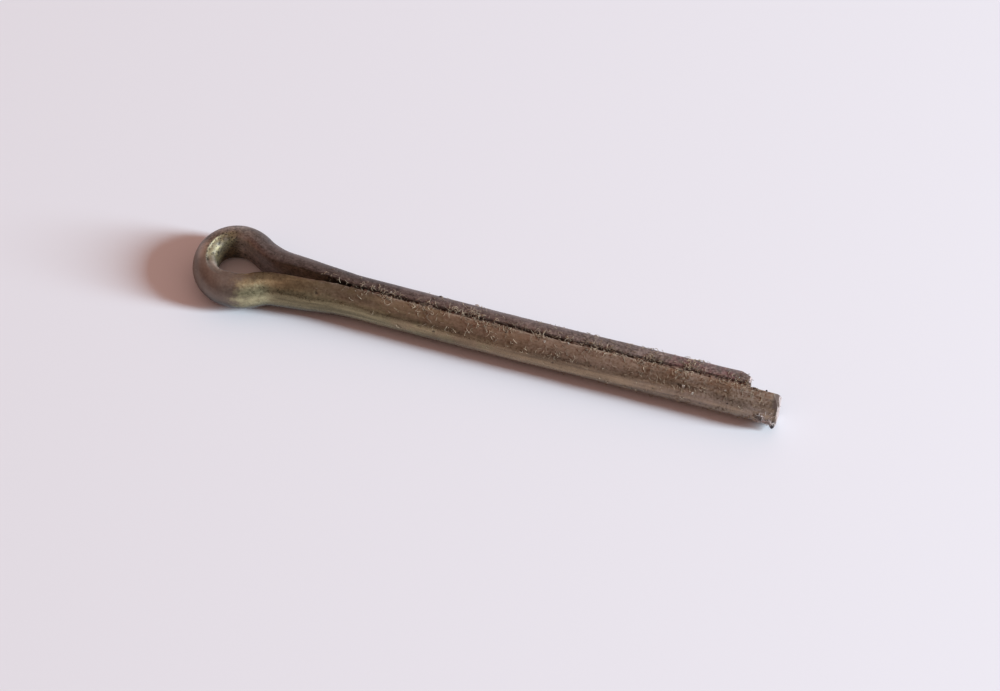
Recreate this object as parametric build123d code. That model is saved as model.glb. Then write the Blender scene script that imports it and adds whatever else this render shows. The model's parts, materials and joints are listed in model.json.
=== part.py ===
"""Split cotter pin: one half-round steel wire folded back on itself, with a loose eye at the fold.

The pin lies flat, with the hole of its eye upright. The legs run along +X from the eye to their tips,
the long leg on the -Y side and the short one on the +Y side, flat against flat. The shank is bent a
little by use. The origin is on the axis of its straight stretch, where that bend ends.
"""
import os
from math import cos, radians, sin, sqrt, tan

from build123d import *

# Half-round wire, in millimetres: two of them side by side make the round shank
shank_diameter = 4.6
split_gap = 0.3
wire_edge_radius = 0.25

# Straight stretch of each leg, from the origin to its tip
long_leg_length = 26.95
short_leg_length = 23.55

# Bow of the shank, which leans its eye end to the short leg's side (angles in degrees)
bow_angle = 1.0
bow_radius = 300.0

# Eye, from the origin: it runs straight for a short way on the long leg's side
eye_setback = 31.9
eye_inner_radius = 2.5
eye_straight_run = 0.65

# Leads, from the bend where each leg parts from the other to the eye's centre, and their throat bends
long_lead_length = 11.4
long_lead_angle = 5.0
short_lead_length = 12.9
short_lead_angle = 4.6
lead_bend_radius = 20.0
long_throat_radius = 4.0
short_throat_radius = 8.0

# Sheared tip of the long leg: a square face, with its top edge rolled over by the shear
roll_length = 1.0
roll_depth = 0.6

# Bevelled tip of the short leg
bevel_length = 1.8
bevel_depth = 1.3

# Cuts run past the wire by this much
overrun = 1.0

shank_radius = shank_diameter / 2
flat_offset = split_gap / 2
flat_half_height = sqrt(shank_radius**2 - flat_offset**2)
wire_thickness = shank_radius - flat_offset

bow_setback = bow_radius * tan(radians(bow_angle) / 2)
eye_centre = Vector(-eye_setback, (eye_setback - bow_setback) * tan(radians(bow_angle)))
long_side_eye_centre = eye_centre + Vector(eye_straight_run, 0)


def leg_route(side, length, bends, throat_radius, centre):
    """Line of one leg's flat from its tip to the eye. The throat is tangent to the last run and to the eye.

    side is -1 on the long leg's side and +1 on the short leg's side. Each bend has the setback of its
    corner, its turn away from the other leg and its radius. centre is that of the eye's bend on this side.
    """
    slope = 0
    corners = [Vector(length, side * flat_offset)]
    for setback, turn, _ in bends:
        run = corners[-1].X + setback
        corners.append(corners[-1] + Vector(-run, side * run * tan(slope)))
        slope += radians(turn)
    towards_eye = Vector(-cos(slope), side * sin(slope))
    outwards = Vector(sin(slope), side * cos(slope))
    along = (centre - corners[-1]).dot(towards_eye)
    out = (centre - corners[-1]).dot(outwards)
    straight_run = along - sqrt((eye_inner_radius + throat_radius) ** 2 - (throat_radius - out) ** 2)
    throat_start = corners[-1] + towards_eye * straight_run
    throat_centre = throat_start + outwards * throat_radius
    throat_end = centre + (throat_centre - centre).normalized() * eye_inner_radius
    leg = FilletPolyline(*corners, throat_start, radius=[radius for _, _, radius in bends])
    throat = TangentArc(throat_start, throat_end, tangent=towards_eye)
    return leg, throat


def wire_route():
    """Line of the wire's flat from the long leg's tip, round the eye, to the short leg's tip."""
    long_bends = [
        (bow_setback, -bow_angle, bow_radius),
        (eye_setback - long_lead_length, long_lead_angle, lead_bend_radius),
    ]
    short_bends = [
        (bow_setback, bow_angle, bow_radius),
        (eye_setback - short_lead_length, short_lead_angle, lead_bend_radius),
    ]
    long_leg, long_throat = leg_route(
        -1, long_leg_length, long_bends, long_throat_radius, long_side_eye_centre
    )
    short_leg, short_throat = leg_route(
        1, short_leg_length, short_bends, short_throat_radius, eye_centre
    )
    down = Vector(0, -eye_inner_radius)
    eye_start = TangentArc(long_throat @ 1, long_side_eye_centre + down, tangent=long_throat % 1)
    eye_run = Line(long_side_eye_centre + down, eye_centre + down)
    crown = eye_centre + Vector(-eye_inner_radius, 0)
    eye_bend = ThreePointArc(eye_centre + down, crown, short_throat @ 1)
    pieces = [long_leg, long_throat, eye_start, eye_run, eye_bend, short_throat, short_leg]
    return Wire([edge for piece in pieces for edge in piece.edges()])


def wire_section():
    """Half-round section at the long leg's tip, its flat towards +Y and its two edges rounded."""
    tip = Plane(origin=(long_leg_length, -flat_offset), x_dir=(0, 1, 0), z_dir=(-1, 0, 0))
    top = Vector(0, flat_half_height)
    bottom = Vector(0, -flat_half_height)
    round_side = ThreePointArc(top, Vector(-wire_thickness, 0), bottom)
    section = make_face(round_side + Line(bottom, top))
    return tip * fillet(section.vertices(), wire_edge_radius)


def long_tip_waste():
    """What the roll takes off the long leg's tip, above its face, drawn from the side and cut across."""
    above = shank_radius + overrun
    past_end = long_leg_length + overrun
    roll_start = Vector(long_leg_length - roll_length, shank_radius)
    roll_end = Vector(long_leg_length, shank_radius - roll_depth)
    roll = TangentArc(roll_start, roll_end, tangent=(1, 0))
    rest = Polyline(
        roll_end,
        Vector(past_end, roll_end.Y),
        Vector(past_end, above),
        Vector(roll_start.X, above),
        roll_start,
    )
    return extrude(Plane.XZ * make_face(roll + rest), shank_diameter, both=True)


def short_tip_waste():
    """Corner that the bevel takes off the short leg's tip, on its round side."""
    across = (shank_radius - bevel_depth, shank_radius)
    lean = bevel_length / bevel_depth
    inner = Vector(short_leg_length + overrun, across[0] - overrun / lean)
    outer = Vector(short_leg_length - bevel_length - overrun * lean, across[1] + overrun)
    beyond = Vector(short_leg_length + overrun, across[1] + overrun)
    return extrude(make_face(Polyline(inner, outer, beyond, close=True)), shank_diameter, both=True)


def cotter_pin():
    """The folded wire, swept along its flat, with its two tips cut."""
    wire = sweep(wire_section(), path=wire_route())
    return wire - long_tip_waste() - short_tip_waste()


os.makedirs("parts", exist_ok=True)
export_step(cotter_pin(), "parts/cotter_pin.step")
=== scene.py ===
"""Looks of a used split cotter pin: tarnished half-round wire with dirt and lint caught on it.

Lengths are in metres, in the frame of the solid part: +X runs from the eye to the tips, the long leg is
on the -Y side and +Z is up. Textures and the places of marks are in millimetres.
"""
import json
from math import ceil, copysign, cos, pi, radians, sin, sqrt, tan

import bmesh
import bpy
from bpy.props import FloatProperty, FloatVectorProperty, IntProperty, PointerProperty
from mathutils import Matrix, Vector, noise


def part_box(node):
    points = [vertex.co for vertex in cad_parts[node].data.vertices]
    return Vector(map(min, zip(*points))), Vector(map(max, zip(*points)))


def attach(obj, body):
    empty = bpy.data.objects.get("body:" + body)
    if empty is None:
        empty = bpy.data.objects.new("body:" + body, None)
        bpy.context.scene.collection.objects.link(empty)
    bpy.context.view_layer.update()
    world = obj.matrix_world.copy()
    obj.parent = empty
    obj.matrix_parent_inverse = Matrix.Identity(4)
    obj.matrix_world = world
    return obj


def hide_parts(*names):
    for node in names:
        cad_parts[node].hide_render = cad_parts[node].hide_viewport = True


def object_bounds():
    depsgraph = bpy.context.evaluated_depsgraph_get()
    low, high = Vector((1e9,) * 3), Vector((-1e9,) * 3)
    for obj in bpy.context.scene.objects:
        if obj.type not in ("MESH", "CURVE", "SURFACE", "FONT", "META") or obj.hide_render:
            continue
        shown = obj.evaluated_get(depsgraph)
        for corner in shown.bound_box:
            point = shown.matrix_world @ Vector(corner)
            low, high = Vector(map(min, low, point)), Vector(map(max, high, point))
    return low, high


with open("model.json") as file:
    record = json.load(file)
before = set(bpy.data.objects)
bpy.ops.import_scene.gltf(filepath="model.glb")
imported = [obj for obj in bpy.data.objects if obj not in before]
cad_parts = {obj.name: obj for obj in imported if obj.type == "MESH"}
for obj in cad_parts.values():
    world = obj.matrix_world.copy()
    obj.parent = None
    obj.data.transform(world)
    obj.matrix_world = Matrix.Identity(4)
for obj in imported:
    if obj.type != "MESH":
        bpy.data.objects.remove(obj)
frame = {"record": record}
cad_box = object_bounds()

bl_info = {
    "name": "Split cotter pin",
    "version": (1, 0, 0),
    "blender": (4, 5, 0),
    "location": "View3D > Sidebar > Cotter pin",
    "description": "Builds a used split cotter pin with its tarnish, lint and stage",
    "category": "Object",
}

MM = 0.001
PER_MM = 1 / MM
PIN_NODE = "cotter_pin"
PIN_BODY = "root"
PIN_SLOT = "tarnished_steel"
WIRE_PIECE = "folded_wire"

mounts = {mount["name"]: mount for mount in frame["record"]["mounts"]}
shank_radius = mounts["shank"]["dims"]["r_mm"] * MM
shank_end = mounts["shank"]["dims"]["length_mm"] * MM
eye_place = Vector(mounts["eye"]["pos_m"][:2])
floor_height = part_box(PIN_NODE)[0].z

# Attributes that the wire's mesh carries: millimetres along the wire from the long leg's tip, the place
# on the half-round section in millimetres, the level way that the flat faces, and how deep in a pit
ALONG = "along_wire"
SECTION = "section_place"
INWARDS = "inwards"
PITTING = "pitting"

# Sizes of the wire that its tree takes as inputs, under the same words
WIRE_INPUTS = """
    split_gap edge_radius eye_edge crown_edge long_swell short_swell crown_swell throat_swell
    spacing ring_points short_tip roll_length roll_depth rim_depth burr_height bevel_length
    bevel_depth unevenness streak_depth nick_depth pit_depth
""".split()
SOCKET_KINDS = {
    float: "NodeSocketFloat",
    int: "NodeSocketInt",
    bpy.types.Material: "NodeSocketMaterial",
}

# Meshes of the wire and of the dirt
ARC_STEP = radians(2)
ARC_POINTS = 72
CORNER_POINTS = 4
CAP_SHARES = (0.9, 0.85, 0.75, 0.6, 0.4)
SHARP_ANGLE = radians(38)
DIRT_RING_POINTS = 24

# Where the wire's section turns from that of the legs into that of the eye's sides and then of its crown,
# where the long leg's swells begin and end, between which depths behind the flat the swells of the inner
# and the round side grow, and how square the swell of the inner face is
EYE_BLEND = (-24.5, -29.0)
CROWN_BLEND = (-31.5, -34.5)
LONG_SWELL_BLEND = (-28.0, -30.5)
THROAT_SWELL_RISE = (-29.5, -27.0)
THROAT_SWELL_FALL = (-17.0, -27.0)
INNER_SWELL_DEPTHS = (-1.2, 0.0)
ROUND_SWELL_DEPTHS = (-0.3, -1.3)
LONG_SWELL_POWER = 16.0
SHORT_SWELL_POWER = 8.0
CROWN_SWELL_POWER = 3.0

# Length over which a cut tip blends into its leg, how near a point is to the section's outline if it is on
# the rim of a cut face, and the burr: its distance from the tip, its reach along the wire, its place round
# the wire from the -Y side and its spread
TIP_BLEND = 3.6 * MM
RIM_INSET = 0.05 * MM
BURR_SETBACK = 0.36 * MM
BURR_REACH = 0.5 * MM
BURR_ANGLE = radians(-34)
BURR_SPREAD = radians(14)

# Textures: how far the drawing streaks are stretched along the wire, and the distance between pits
STREAK_STRETCH = 0.07
PIT_SPACING = 0.75
FINE_PIT_SPACING = 0.27

# Ways from the eye's centre, from +X: to the crown's middle, to its outer side, where painted light makes
# it paler, and to its back, where painted shade makes it darker
CROWN_MIDDLE = radians(152)
CROWN_LIT_SIDE = radians(179)
CROWN_SHADED_BACK = radians(155)

# Fibres: height of the arch and sideways bow of each shape, as shares of its length, and the places along
# the short leg where they gather
FIBRE_SHAPES = ((0.10, 0.18), (0.22, -0.25), (0.34, 0.05), (-0.04, 0.38), (0.12, -0.45), (0.5, 0.3))
FIBRE_SEGMENTS = 5
FIBRE_SIDES = 3
FAR_CLUMPS = (-5.9, 13.3, 16.9)
CLUMP_REACH = 1.1

# The grains' scatter has its own seed, this far from that of the fibres
GRAIN_SEED_STEP = 11.0

# Crumbs stuck to the pin: place along it, degrees round it from the -Y side, and size
DARK_CRUMBS = (
    (-9.9, 143, 0.2),
    (-2.1, 71, 0.07),
    (7.2, 40, 0.08),
    (10.6, 58, 0.07),
    (21.7, 27, 0.08),
    (24.0, 83, 0.11),
    (25.3, 84, 0.10),
)
PALE_CHIPS = (
    (16.95, 45, 0.16),
    (18.0, 32, 0.13),
    (2.0, 72, 0.13),
    (-5.2, 100, 0.12),
    (4.4, 82, 0.12),
    (-14.9, 100, 0.11),
    (12.6, 100, 0.13),
    (21.2, 60, 0.09),
)

# Shape of a crumb: waves of its lumps in its radius, how far it is flattened, and how far lumps swell and
# jag it, as shares of its radius
CRUMB_WAVES = 1.5
CRUMB_FLATTENING = 0.5
CRUMB_SWELL = 0.5
CRUMB_JAG = 0.6

FLOOR_HALF_SIDE = 1.5
SENSOR_WIDTH = 36


def length(name, description, millimetres):
    """A length that a user can set, shown in scene units."""
    return FloatProperty(
        name=name, description=description, default=millimetres * MM, unit="LENGTH", precision=5
    )


def angle(name, description, degrees):
    """An angle that a user can set, in degrees."""
    return FloatProperty(name=name, description=description, default=radians(degrees), subtype="ANGLE")


def colour(name, description, red, green, blue):
    """A linear colour that a user can set."""
    return FloatVectorProperty(
        name=name, description=description, default=(red, green, blue), subtype="COLOR", min=0, max=1
    )


def share(name, description, value):
    """A share from nothing to all that a user can set."""
    return FloatProperty(name=name, description=description, default=value, min=0, max=1, subtype="FACTOR")


def number(name, description, value):
    """A plain number that a user can set."""
    return FloatProperty(name=name, description=description, default=value)


class WireSettings(bpy.types.PropertyGroup):
    """Shape of the folded wire and of its wear"""

    split_gap: length("Split gap", "Gap between the flats of the two legs", 0.3)
    edge_radius: length("Edge radius", "Rounding of the wire's two edges", 0.25)
    short_tip: length("Short tip", "Distance from the origin to the short leg's tip", 23.55)
    bow_angle: angle("Bow", "Turn of the bow in the shank", 1.0)
    bow_radius: length("Bow radius", "Radius of the bow in the shank", 300.0)
    eye_radius: length("Eye radius", "Inner radius of the eye", 2.5)
    eye_run: length("Eye run", "Straight run of the eye on the long leg's side", 0.65)
    eye_edge: length("Eye edge radius", "Rounding of the wire's edges on the eye's sides", 0.35)
    crown_edge: length("Crown edge radius", "Rounding of the wire's edges on the eye's crown", 1.15)
    long_swell: length("Long swell", "Swell of the inner face on the long leg's side of the eye", 0.6)
    short_swell: length("Short swell", "Swell of the inner face on the short leg's side of the eye", 0.42)
    crown_swell: length("Crown swell", "Swell of the inner face on the eye's crown", 0.45)
    throat_swell: length("Throat swell", "Swell of the round side in the long leg's throat", 0.34)
    long_lead: length("Long lead", "Lead of the long leg, up to the eye's centre", 11.4)
    long_lead_angle: angle("Long lead angle", "Turn of the long leg where the legs part", 5.0)
    short_lead: length("Short lead", "Lead of the short leg, up to the eye's centre", 12.9)
    short_lead_angle: angle("Short lead angle", "Turn of the short leg where the legs part", 4.6)
    lead_radius: length("Lead radius", "Radius of the bends where the legs part", 20.0)
    long_throat: length("Long throat", "Radius of the long leg's bend into the eye", 4.0)
    short_throat: length("Short throat", "Radius of the short leg's bend into the eye", 8.0)
    roll_length: length("Roll length", "Length of the sheared tip's rolled top edge", 1.0)
    roll_depth: length("Roll depth", "Depth of the sheared tip's rolled top edge", 0.6)
    rim_depth: length("Rim depth", "Depth of the bevelled rim round the sheared tip's face", 0.15)
    burr_height: length("Burr height", "Reach of the burr on the sheared tip's lower side", 0.5)
    bevel_length: length("Bevel length", "Length of the short tip's bevel", 1.8)
    bevel_depth: length("Bevel depth", "Depth of the short tip's bevel", 1.3)
    spacing: length("Spacing", "Distance between rings of the mesh", 0.17)
    ring_points: IntProperty(name="Ring points", description="Points round the section", default=96, min=12)
    unevenness: length("Unevenness", "Slow swell of the surface", 0.03)
    streak_depth: length("Streak depth", "Depth of the drawing streaks", 0.014)
    nick_depth: length("Nick depth", "Depth of the nicks in the wire's edges", 0.03)
    pit_depth: length("Pit depth", "Depth of the corrosion pits", 0.06)
    dirt_reach: length("Dirt reach", "How far behind the origin the split holds dirt", 19.2)
    dirt_width: length("Dirt width", "Width of the dirt in the split", 0.36)
    dirt_height: length("Dirt height", "Height of the dirt in the split", 0.8)
    dirt_top: length("Dirt top", "Mean height of the dirt's top above the axis", 1.9)
    dirt_lumps: length("Dirt lumps", "Height of the lumps on the dirt", 0.25)


class FinishSettings(bpy.types.PropertyGroup):
    """Colours of the tarnished steel, with its painted highlights, reflection and shade"""

    olive: colour("Olive", "Dulled plating towards the eye", 0.26, 0.215, 0.125)
    umber: colour("Umber", "Dulled plating towards the tips", 0.245, 0.172, 0.108)
    brown: colour("Brown", "Tarnish on the short leg", 0.165, 0.125, 0.113)
    eye_brown: colour("Eye brown", "Tarnish on the eye", 0.20, 0.158, 0.13)
    soot: colour("Soot", "Dark tarnish of the short leg next to the eye", 0.10, 0.078, 0.07)
    rust: colour("Rust", "Rust on top of the long leg", 0.17, 0.095, 0.058)
    red_rust: colour("Red rust", "Reddish patches on the short leg", 0.14, 0.055, 0.06)
    gold: colour("Gold", "Plating polished by wear", 0.195, 0.146, 0.08)
    # Painted highlight: bright colour on the outer side of the long leg's bend into the eye, where it faces
    # the key light
    throat_highlight: colour("Khaki", "Plating kept clean in the long leg's bend into the eye", 0.47, 0.43, 0.26)
    # Dull grey metal on the crown, made lighter as a painted grazing reflection along its far top edge
    crown_grey_and_sheen: colour("Crown grey", "Dull metal on top of the eye's crown", 0.42, 0.385, 0.35)
    # Bare worn metal on the edges, made lighter as a painted highlight
    edge_wear_and_highlight: colour("Worn edge", "Bare metal on the edges", 0.30, 0.225, 0.165)
    shear: colour("Shear", "Bare metal of the cut ends", 0.29, 0.215, 0.20)
    # Painted light: how much lighter the long leg's cut face is made at its foot
    shear_foot_light: number("Shear gain", "How much lighter the long leg's cut end is at its foot", 1.7)
    roll: colour("Roll", "Grime on the sheared tip's rolled edge", 0.10, 0.065, 0.057)
    # Painted highlight: near-white colour on the short leg's bevelled tip
    rim_highlight: colour("Bright rim", "Polished rim of the short leg's cut end", 0.85, 0.76, 0.76)
    burr: colour("Burr", "Dark burr of the sheared tip", 0.15, 0.12, 0.13)
    pit: colour("Pit", "Bottom of the pits", 0.045, 0.034, 0.026)
    dust: colour("Dust", "Dust lying on the wire", 0.375, 0.292, 0.25)
    tip_dust: colour("Tip dust", "Greyer dust at the long leg's tip", 0.37, 0.315, 0.285)
    dust_cover: share("Dust cover", "How much of the wire the dust covers at most", 0.5)
    # Painted shade: how much darker the wire's underside is made
    painted_shade: share("Grime", "How much the grime darkens the wire's underside", 0.45)
    # Painted shade: how much darker the long leg is made next to the eye
    lead_shade: share("Lead grime", "How much the grime darkens the long leg next to the eye", 0.42)
    # Gains on the inner flats inside the eye and where the legs part: partly cleaner metal, partly painted
    # light
    inner_light_gain: number("Inner gain", "How much lighter the wire is inside the eye", 2.55)
    lead_light_gain: number("Lead gain", "How much lighter the flats are where the legs part", 3.8)
    long_speckle: share("Long speckle", "How much the tone differs on the long leg", 0.17)
    short_speckle: share("Short speckle", "How much the tone differs on the short leg", 0.55)


class LintSettings(bpy.types.PropertyGroup):
    """Dirt, fibres and grains that stick to the pin"""

    fibre_length: length("Fibre length", "Mean length of a fibre", 0.55)
    fibre_radius: length("Fibre radius", "Radius of a fibre", 0.027)
    fibre_density: number("Fibre density", "Fibres in a square millimetre", 4.0)
    grain_radius: length("Grain radius", "Mean radius of a grain of dust", 0.04)
    grain_density: number("Grain density", "Grains in a square millimetre", 1.6)
    fibre_colour: colour("Fibre colour", "Pale fibres", 0.33, 0.245, 0.175)
    tip_fibre_colour: colour("Tip fibre colour", "Paler fibres by the burr", 0.60, 0.51, 0.48)
    grain_colour: colour("Grain colour", "Pale grains", 0.42, 0.34, 0.28)
    chip_colour: colour("Chip colour", "Pale chips", 0.40, 0.335, 0.28)
    crumb_colour: colour("Crumb colour", "Dark crumbs", 0.035, 0.028, 0.026)
    dirt_colour: colour("Dirt colour", "Dirt packed into the split", 0.11, 0.065, 0.048)
    seed: IntProperty(name="Seed", description="Seed of the scatter and the crumbs", default=7, min=1)


class StageSettings(bpy.types.PropertyGroup):
    """Camera, floor and lights"""

    azimuth: angle("Azimuth", "Direction of the camera round the pin", 15.80)
    elevation: angle("Elevation", "Height of the camera above the floor", 60.12)
    distance: length("Distance", "Distance of the camera from its target", 300.0)
    target: FloatVectorProperty(
        name="Target",
        description="Point at the centre of the picture",
        default=(-2.97 * MM, 0.05 * MM, -2.3 * MM),
        subtype="XYZ",
        unit="LENGTH",
        precision=5,
    )
    lens: number("Lens", "Focal length in millimetres", 103.3)
    floor_colour: colour("Floor", "Plain pale floor", 0.79, 0.76, 0.79)
    key_power: number("Key power", "Power of the soft key light in watts", 30.9)
    key_colour: colour("Key colour", "Cool light from the right", 0.70, 0.895, 1.0)
    key_azimuth: angle("Key azimuth", "Direction of the key light from +X", 5.6)
    key_elevation: angle("Key elevation", "Height of the key light's middle", 22.5)
    key_distance: length("Key distance", "Distance of the key light", 1200.0)
    key_width: length("Key width", "Width of the key light", 200.0)
    key_height: length("Key height", "Height of the key light", 550.0)
    room_colour: colour("Room", "Warm light from the room", 1.0, 0.62, 0.52)
    room_strength: number("Room strength", "Strength of the room's light", 0.48)
    front_elevation: angle("Front shade", "Height of the shade in front of the pin", 30.0)
    front_level: share("Front level", "Light that is left in that shade", 0.08)


def node_sum(operation, swapped=False):
    """A method that adds the node of one sum on a field, or on a field and another number."""

    def method(field, *others):
        numbers = (*others, field) if swapped else (field, *others)
        return field.graph.math(operation, *numbers)

    return method


class Field:
    """What a node gives for each point. Sums on it add nodes to its tree."""

    def __init__(self, graph, socket):
        self.graph = graph
        self.socket = socket

    __add__ = node_sum("ADD")
    __radd__ = node_sum("ADD", swapped=True)
    __sub__ = node_sum("SUBTRACT")
    __rsub__ = node_sum("SUBTRACT", swapped=True)
    __mul__ = node_sum("MULTIPLY")
    __truediv__ = node_sum("DIVIDE")
    __rtruediv__ = node_sum("DIVIDE", swapped=True)
    __pow__ = node_sum("POWER")
    __abs__ = node_sum("ABSOLUTE")
    root = node_sum("SQRT")
    sign = node_sum("SIGN")
    above = node_sum("GREATER_THAN")

    def most(self, *others):
        """The largest of this number and others."""
        largest = self
        for other in others:
            largest = self.graph.math("MAXIMUM", largest, other)
        return largest

    def ramp(self, low, high, start=0.0, end=1.0, kind="SMOOTHSTEP"):
        """Goes from start to end as this number goes from low to high, and stays there."""
        inputs = {"Value": self, "From Min": low, "From Max": high, "To Min": start, "To Max": end}
        return self.graph.out("ShaderNodeMapRange", "Result", inputs, interpolation_type=kind)

    def window(self, low, high, soft):
        """One from low to high, fading to nothing over a soft width outside them."""
        return self.ramp(low - soft, low) * self.ramp(high, high + soft, 1.0, 0.0)

    def near(self, middle, reach):
        """One at the middle, fading to nothing at a reach to both sides of it."""
        return abs(self - middle).ramp(0.0, reach, 1.0, 0.0)

    def swing(self, reach):
        """A noise's level, turned into one from about minus to plus a reach."""
        return self.ramp(0.25, 0.75, -reach, reach, "LINEAR")

    def between(self, first, second):
        """A number between two numbers, by this share."""
        return self.graph.out("ShaderNodeMix", 0, {0: self, 2: first, 3: second}, data_type="FLOAT")

    def tint(self, first, second):
        """A colour between two colours, by this share."""
        return self.graph.out("ShaderNodeMix", 2, {0: self, 6: first, 7: second}, data_type="RGBA")


class Graph:
    """A node tree that is filled by short calls. Each call adds a node and joins its inputs."""

    def __init__(self, tree):
        self.tree = tree

    @staticmethod
    def socket(sockets, key):
        """A socket by its number, or the one in use by its name."""
        if isinstance(key, int):
            return sockets[key]
        return next(socket for socket in sockets if socket.name == key and socket.enabled)

    def feed(self, socket, value):
        """Joins a field to a socket, or sets the socket to a plain value."""
        if isinstance(value, Field):
            self.tree.links.new(value.socket, socket)
        else:
            socket.default_value = value

    def add(self, kind, inputs=None, **settings):
        """Adds a node, sets its options and feeds its inputs."""
        node = self.tree.nodes.new(kind)
        for name, value in settings.items():
            setattr(node, name, value)
        for key, value in (inputs or {}).items():
            self.feed(self.socket(node.inputs, key), value)
        return node

    def out(self, kind, output, inputs=None, **settings):
        """Adds a node and returns one of its outputs."""
        return Field(self, self.socket(self.add(kind, inputs, **settings).outputs, output))

    def outs(self, kind, inputs=None):
        """Adds a node and returns its outputs by their names."""
        return {socket.name: Field(self, socket) for socket in self.add(kind, inputs).outputs}

    def math(self, operation, *numbers):
        """Result of one sum on numbers."""
        return self.out("ShaderNodeMath", 0, dict(enumerate(numbers)), operation=operation)

    def vector(self, operation, *vectors, output=0):
        """Result of one sum on vectors."""
        return self.out("ShaderNodeVectorMath", output, dict(enumerate(vectors)), operation=operation)

    def scaled(self, vector, factor):
        """A vector or colour times a number."""
        return self.out("ShaderNodeVectorMath", 0, {0: vector, "Scale": factor}, operation="SCALE")

    def split(self, vector):
        """The three parts of a vector."""
        return [Field(self, socket) for socket in self.add("ShaderNodeSeparateXYZ", {0: vector}).outputs]

    def joined(self, x, y, z):
        """A vector from its three parts."""
        return self.out("ShaderNodeCombineXYZ", 0, {0: x, 1: y, 2: z})

    def noise(self, place, scale, detail=2.0, roughness=0.5):
        """Cloudy noise, about one half on average."""
        inputs = {"Vector": place, "Scale": scale, "Detail": detail, "Roughness": roughness}
        return self.out("ShaderNodeTexNoise", 0, inputs)

    def waver(self, place, scale, detail=2.0):
        """Noise from about minus one to one."""
        return self.noise(place, scale, detail).swing(1.0)

    def cells(self, place, spacing):
        """Distance from the nearest of scattered points, as a share of their spacing."""
        inputs = {"Vector": place, "Scale": 1 / spacing, "Randomness": 1.0}
        return self.out("ShaderNodeTexVoronoi", "Distance", inputs)


def geometry_graph(name, values):
    """A new Geometry Nodes tree with an input for each named value, its graph and its inputs by name."""
    tree = bpy.data.node_groups.new(name, "GeometryNodeTree")
    for way in ("INPUT", "OUTPUT"):
        tree.interface.new_socket("Geometry", in_out=way, socket_type="NodeSocketGeometry")
    for label, value in values.items():
        tree.interface.new_socket(label, in_out="INPUT", socket_type=SOCKET_KINDS[type(value)])
    graph = Graph(tree)
    return graph, graph.outs("NodeGroupInput")


def end_tree(graph, geometry, material):
    """Ends a tree: its instances become real and take their material."""
    real = graph.out("GeometryNodeRealizeInstances", 0, {"Geometry": geometry})
    painted = graph.out("GeometryNodeSetMaterial", 0, {"Geometry": real, "Material": material})
    graph.add("NodeGroupOutput", {"Geometry": painted})
    return graph


def grown(source, graph, values, name):
    """Runs a tree on an object and returns its result as a new plain mesh object."""
    modifier = source.modifiers.new(graph.tree.name, "NODES")
    modifier.node_group = graph.tree
    for item in graph.tree.interface.items_tree:
        if item.item_type == "SOCKET" and item.in_out == "INPUT" and item.name in values:
            modifier[item.identifier] = values[item.name]
    evaluated = source.evaluated_get(bpy.context.evaluated_depsgraph_get())
    mesh = bpy.data.meshes.new_from_object(evaluated)
    source.modifiers.remove(modifier)
    return shown(mesh, name)


def shown(mesh, name):
    """A new object that shows a mesh."""
    mesh.name = name
    piece = bpy.data.objects.new(name, mesh)
    bpy.context.scene.collection.objects.link(piece)
    return piece


def material_graph(name):
    """A new material, its graph and its shader."""
    material = bpy.data.materials.new(name)
    material.use_nodes = True
    tree = material.node_tree
    return material, Graph(tree), tree.nodes["Principled BSDF"]


def opaque(rgb):
    """A colour with full alpha."""
    return (*rgb, 1.0)


def direction(azimuth, elevation=0.0):
    """Unit vector at an angle from +X about the upright axis, raised above the floor."""
    return Vector((cos(azimuth) * cos(elevation), sin(azimuth) * cos(elevation), sin(elevation)))


def arc_points(centre, start, turn):
    """Points on an arc about a centre, after its start. A positive turn is anticlockwise."""
    count = max(1, ceil(abs(turn) / ARC_STEP))
    return [centre + Matrix.Rotation(turn * k / count, 2) @ (start - centre) for k in range(1, count + 1)]


def turn_between(first, second):
    """Anticlockwise angle from one flat vector to another."""
    return -first.angle_signed(second)


def bend_points(before, corner, after, radius):
    """Points of the arc that rounds a corner of the route."""
    heading = (corner - before).normalized()
    turn = turn_between(heading, after - corner)
    start = corner - heading * radius * tan(abs(turn) / 2)
    left = Vector((-heading.y, heading.x))
    return [start] + arc_points(start + left * copysign(radius, turn), start, turn)


def leg_points(side, tip, bends, throat_radius, centre, wire):
    """Line of one leg's flat from its tip to the eye, where side is -1 on the long leg's side.

    Each bend has the setback of its corner, its turn away from the other leg and its radius.
    """
    slope = 0.0
    corners = [Vector((tip, side * wire.split_gap / 2))]
    for setback, turn, _ in bends:
        run = corners[-1].x + setback
        corners.append(corners[-1] + Vector((-run, side * run * tan(slope))))
        slope += turn
    towards_eye = Vector((-cos(slope), side * sin(slope)))
    outwards = Vector((sin(slope), side * cos(slope)))
    reach = centre - corners[-1]
    spread = (wire.eye_radius + throat_radius) ** 2 - (throat_radius - reach.dot(outwards)) ** 2
    throat_start = corners[-1] + towards_eye * (reach.dot(towards_eye) - sqrt(spread))
    throat_centre = throat_start + outwards * throat_radius
    throat_end = centre + (throat_centre - centre).normalized() * wire.eye_radius
    stations = corners + [throat_start]
    points = [corners[0]]
    for k, (_, _, radius) in enumerate(bends, 1):
        points += bend_points(*stations[k - 1 : k + 2], radius)
    throat_turn = turn_between(throat_start - throat_centre, throat_end - throat_centre)
    return points + [throat_start] + arc_points(throat_centre, throat_start, throat_turn)


def bow_setback(wire):
    """Distance behind the origin of the corner that the shank's bow rounds."""
    return wire.bow_radius * tan(wire.bow_angle / 2)


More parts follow.
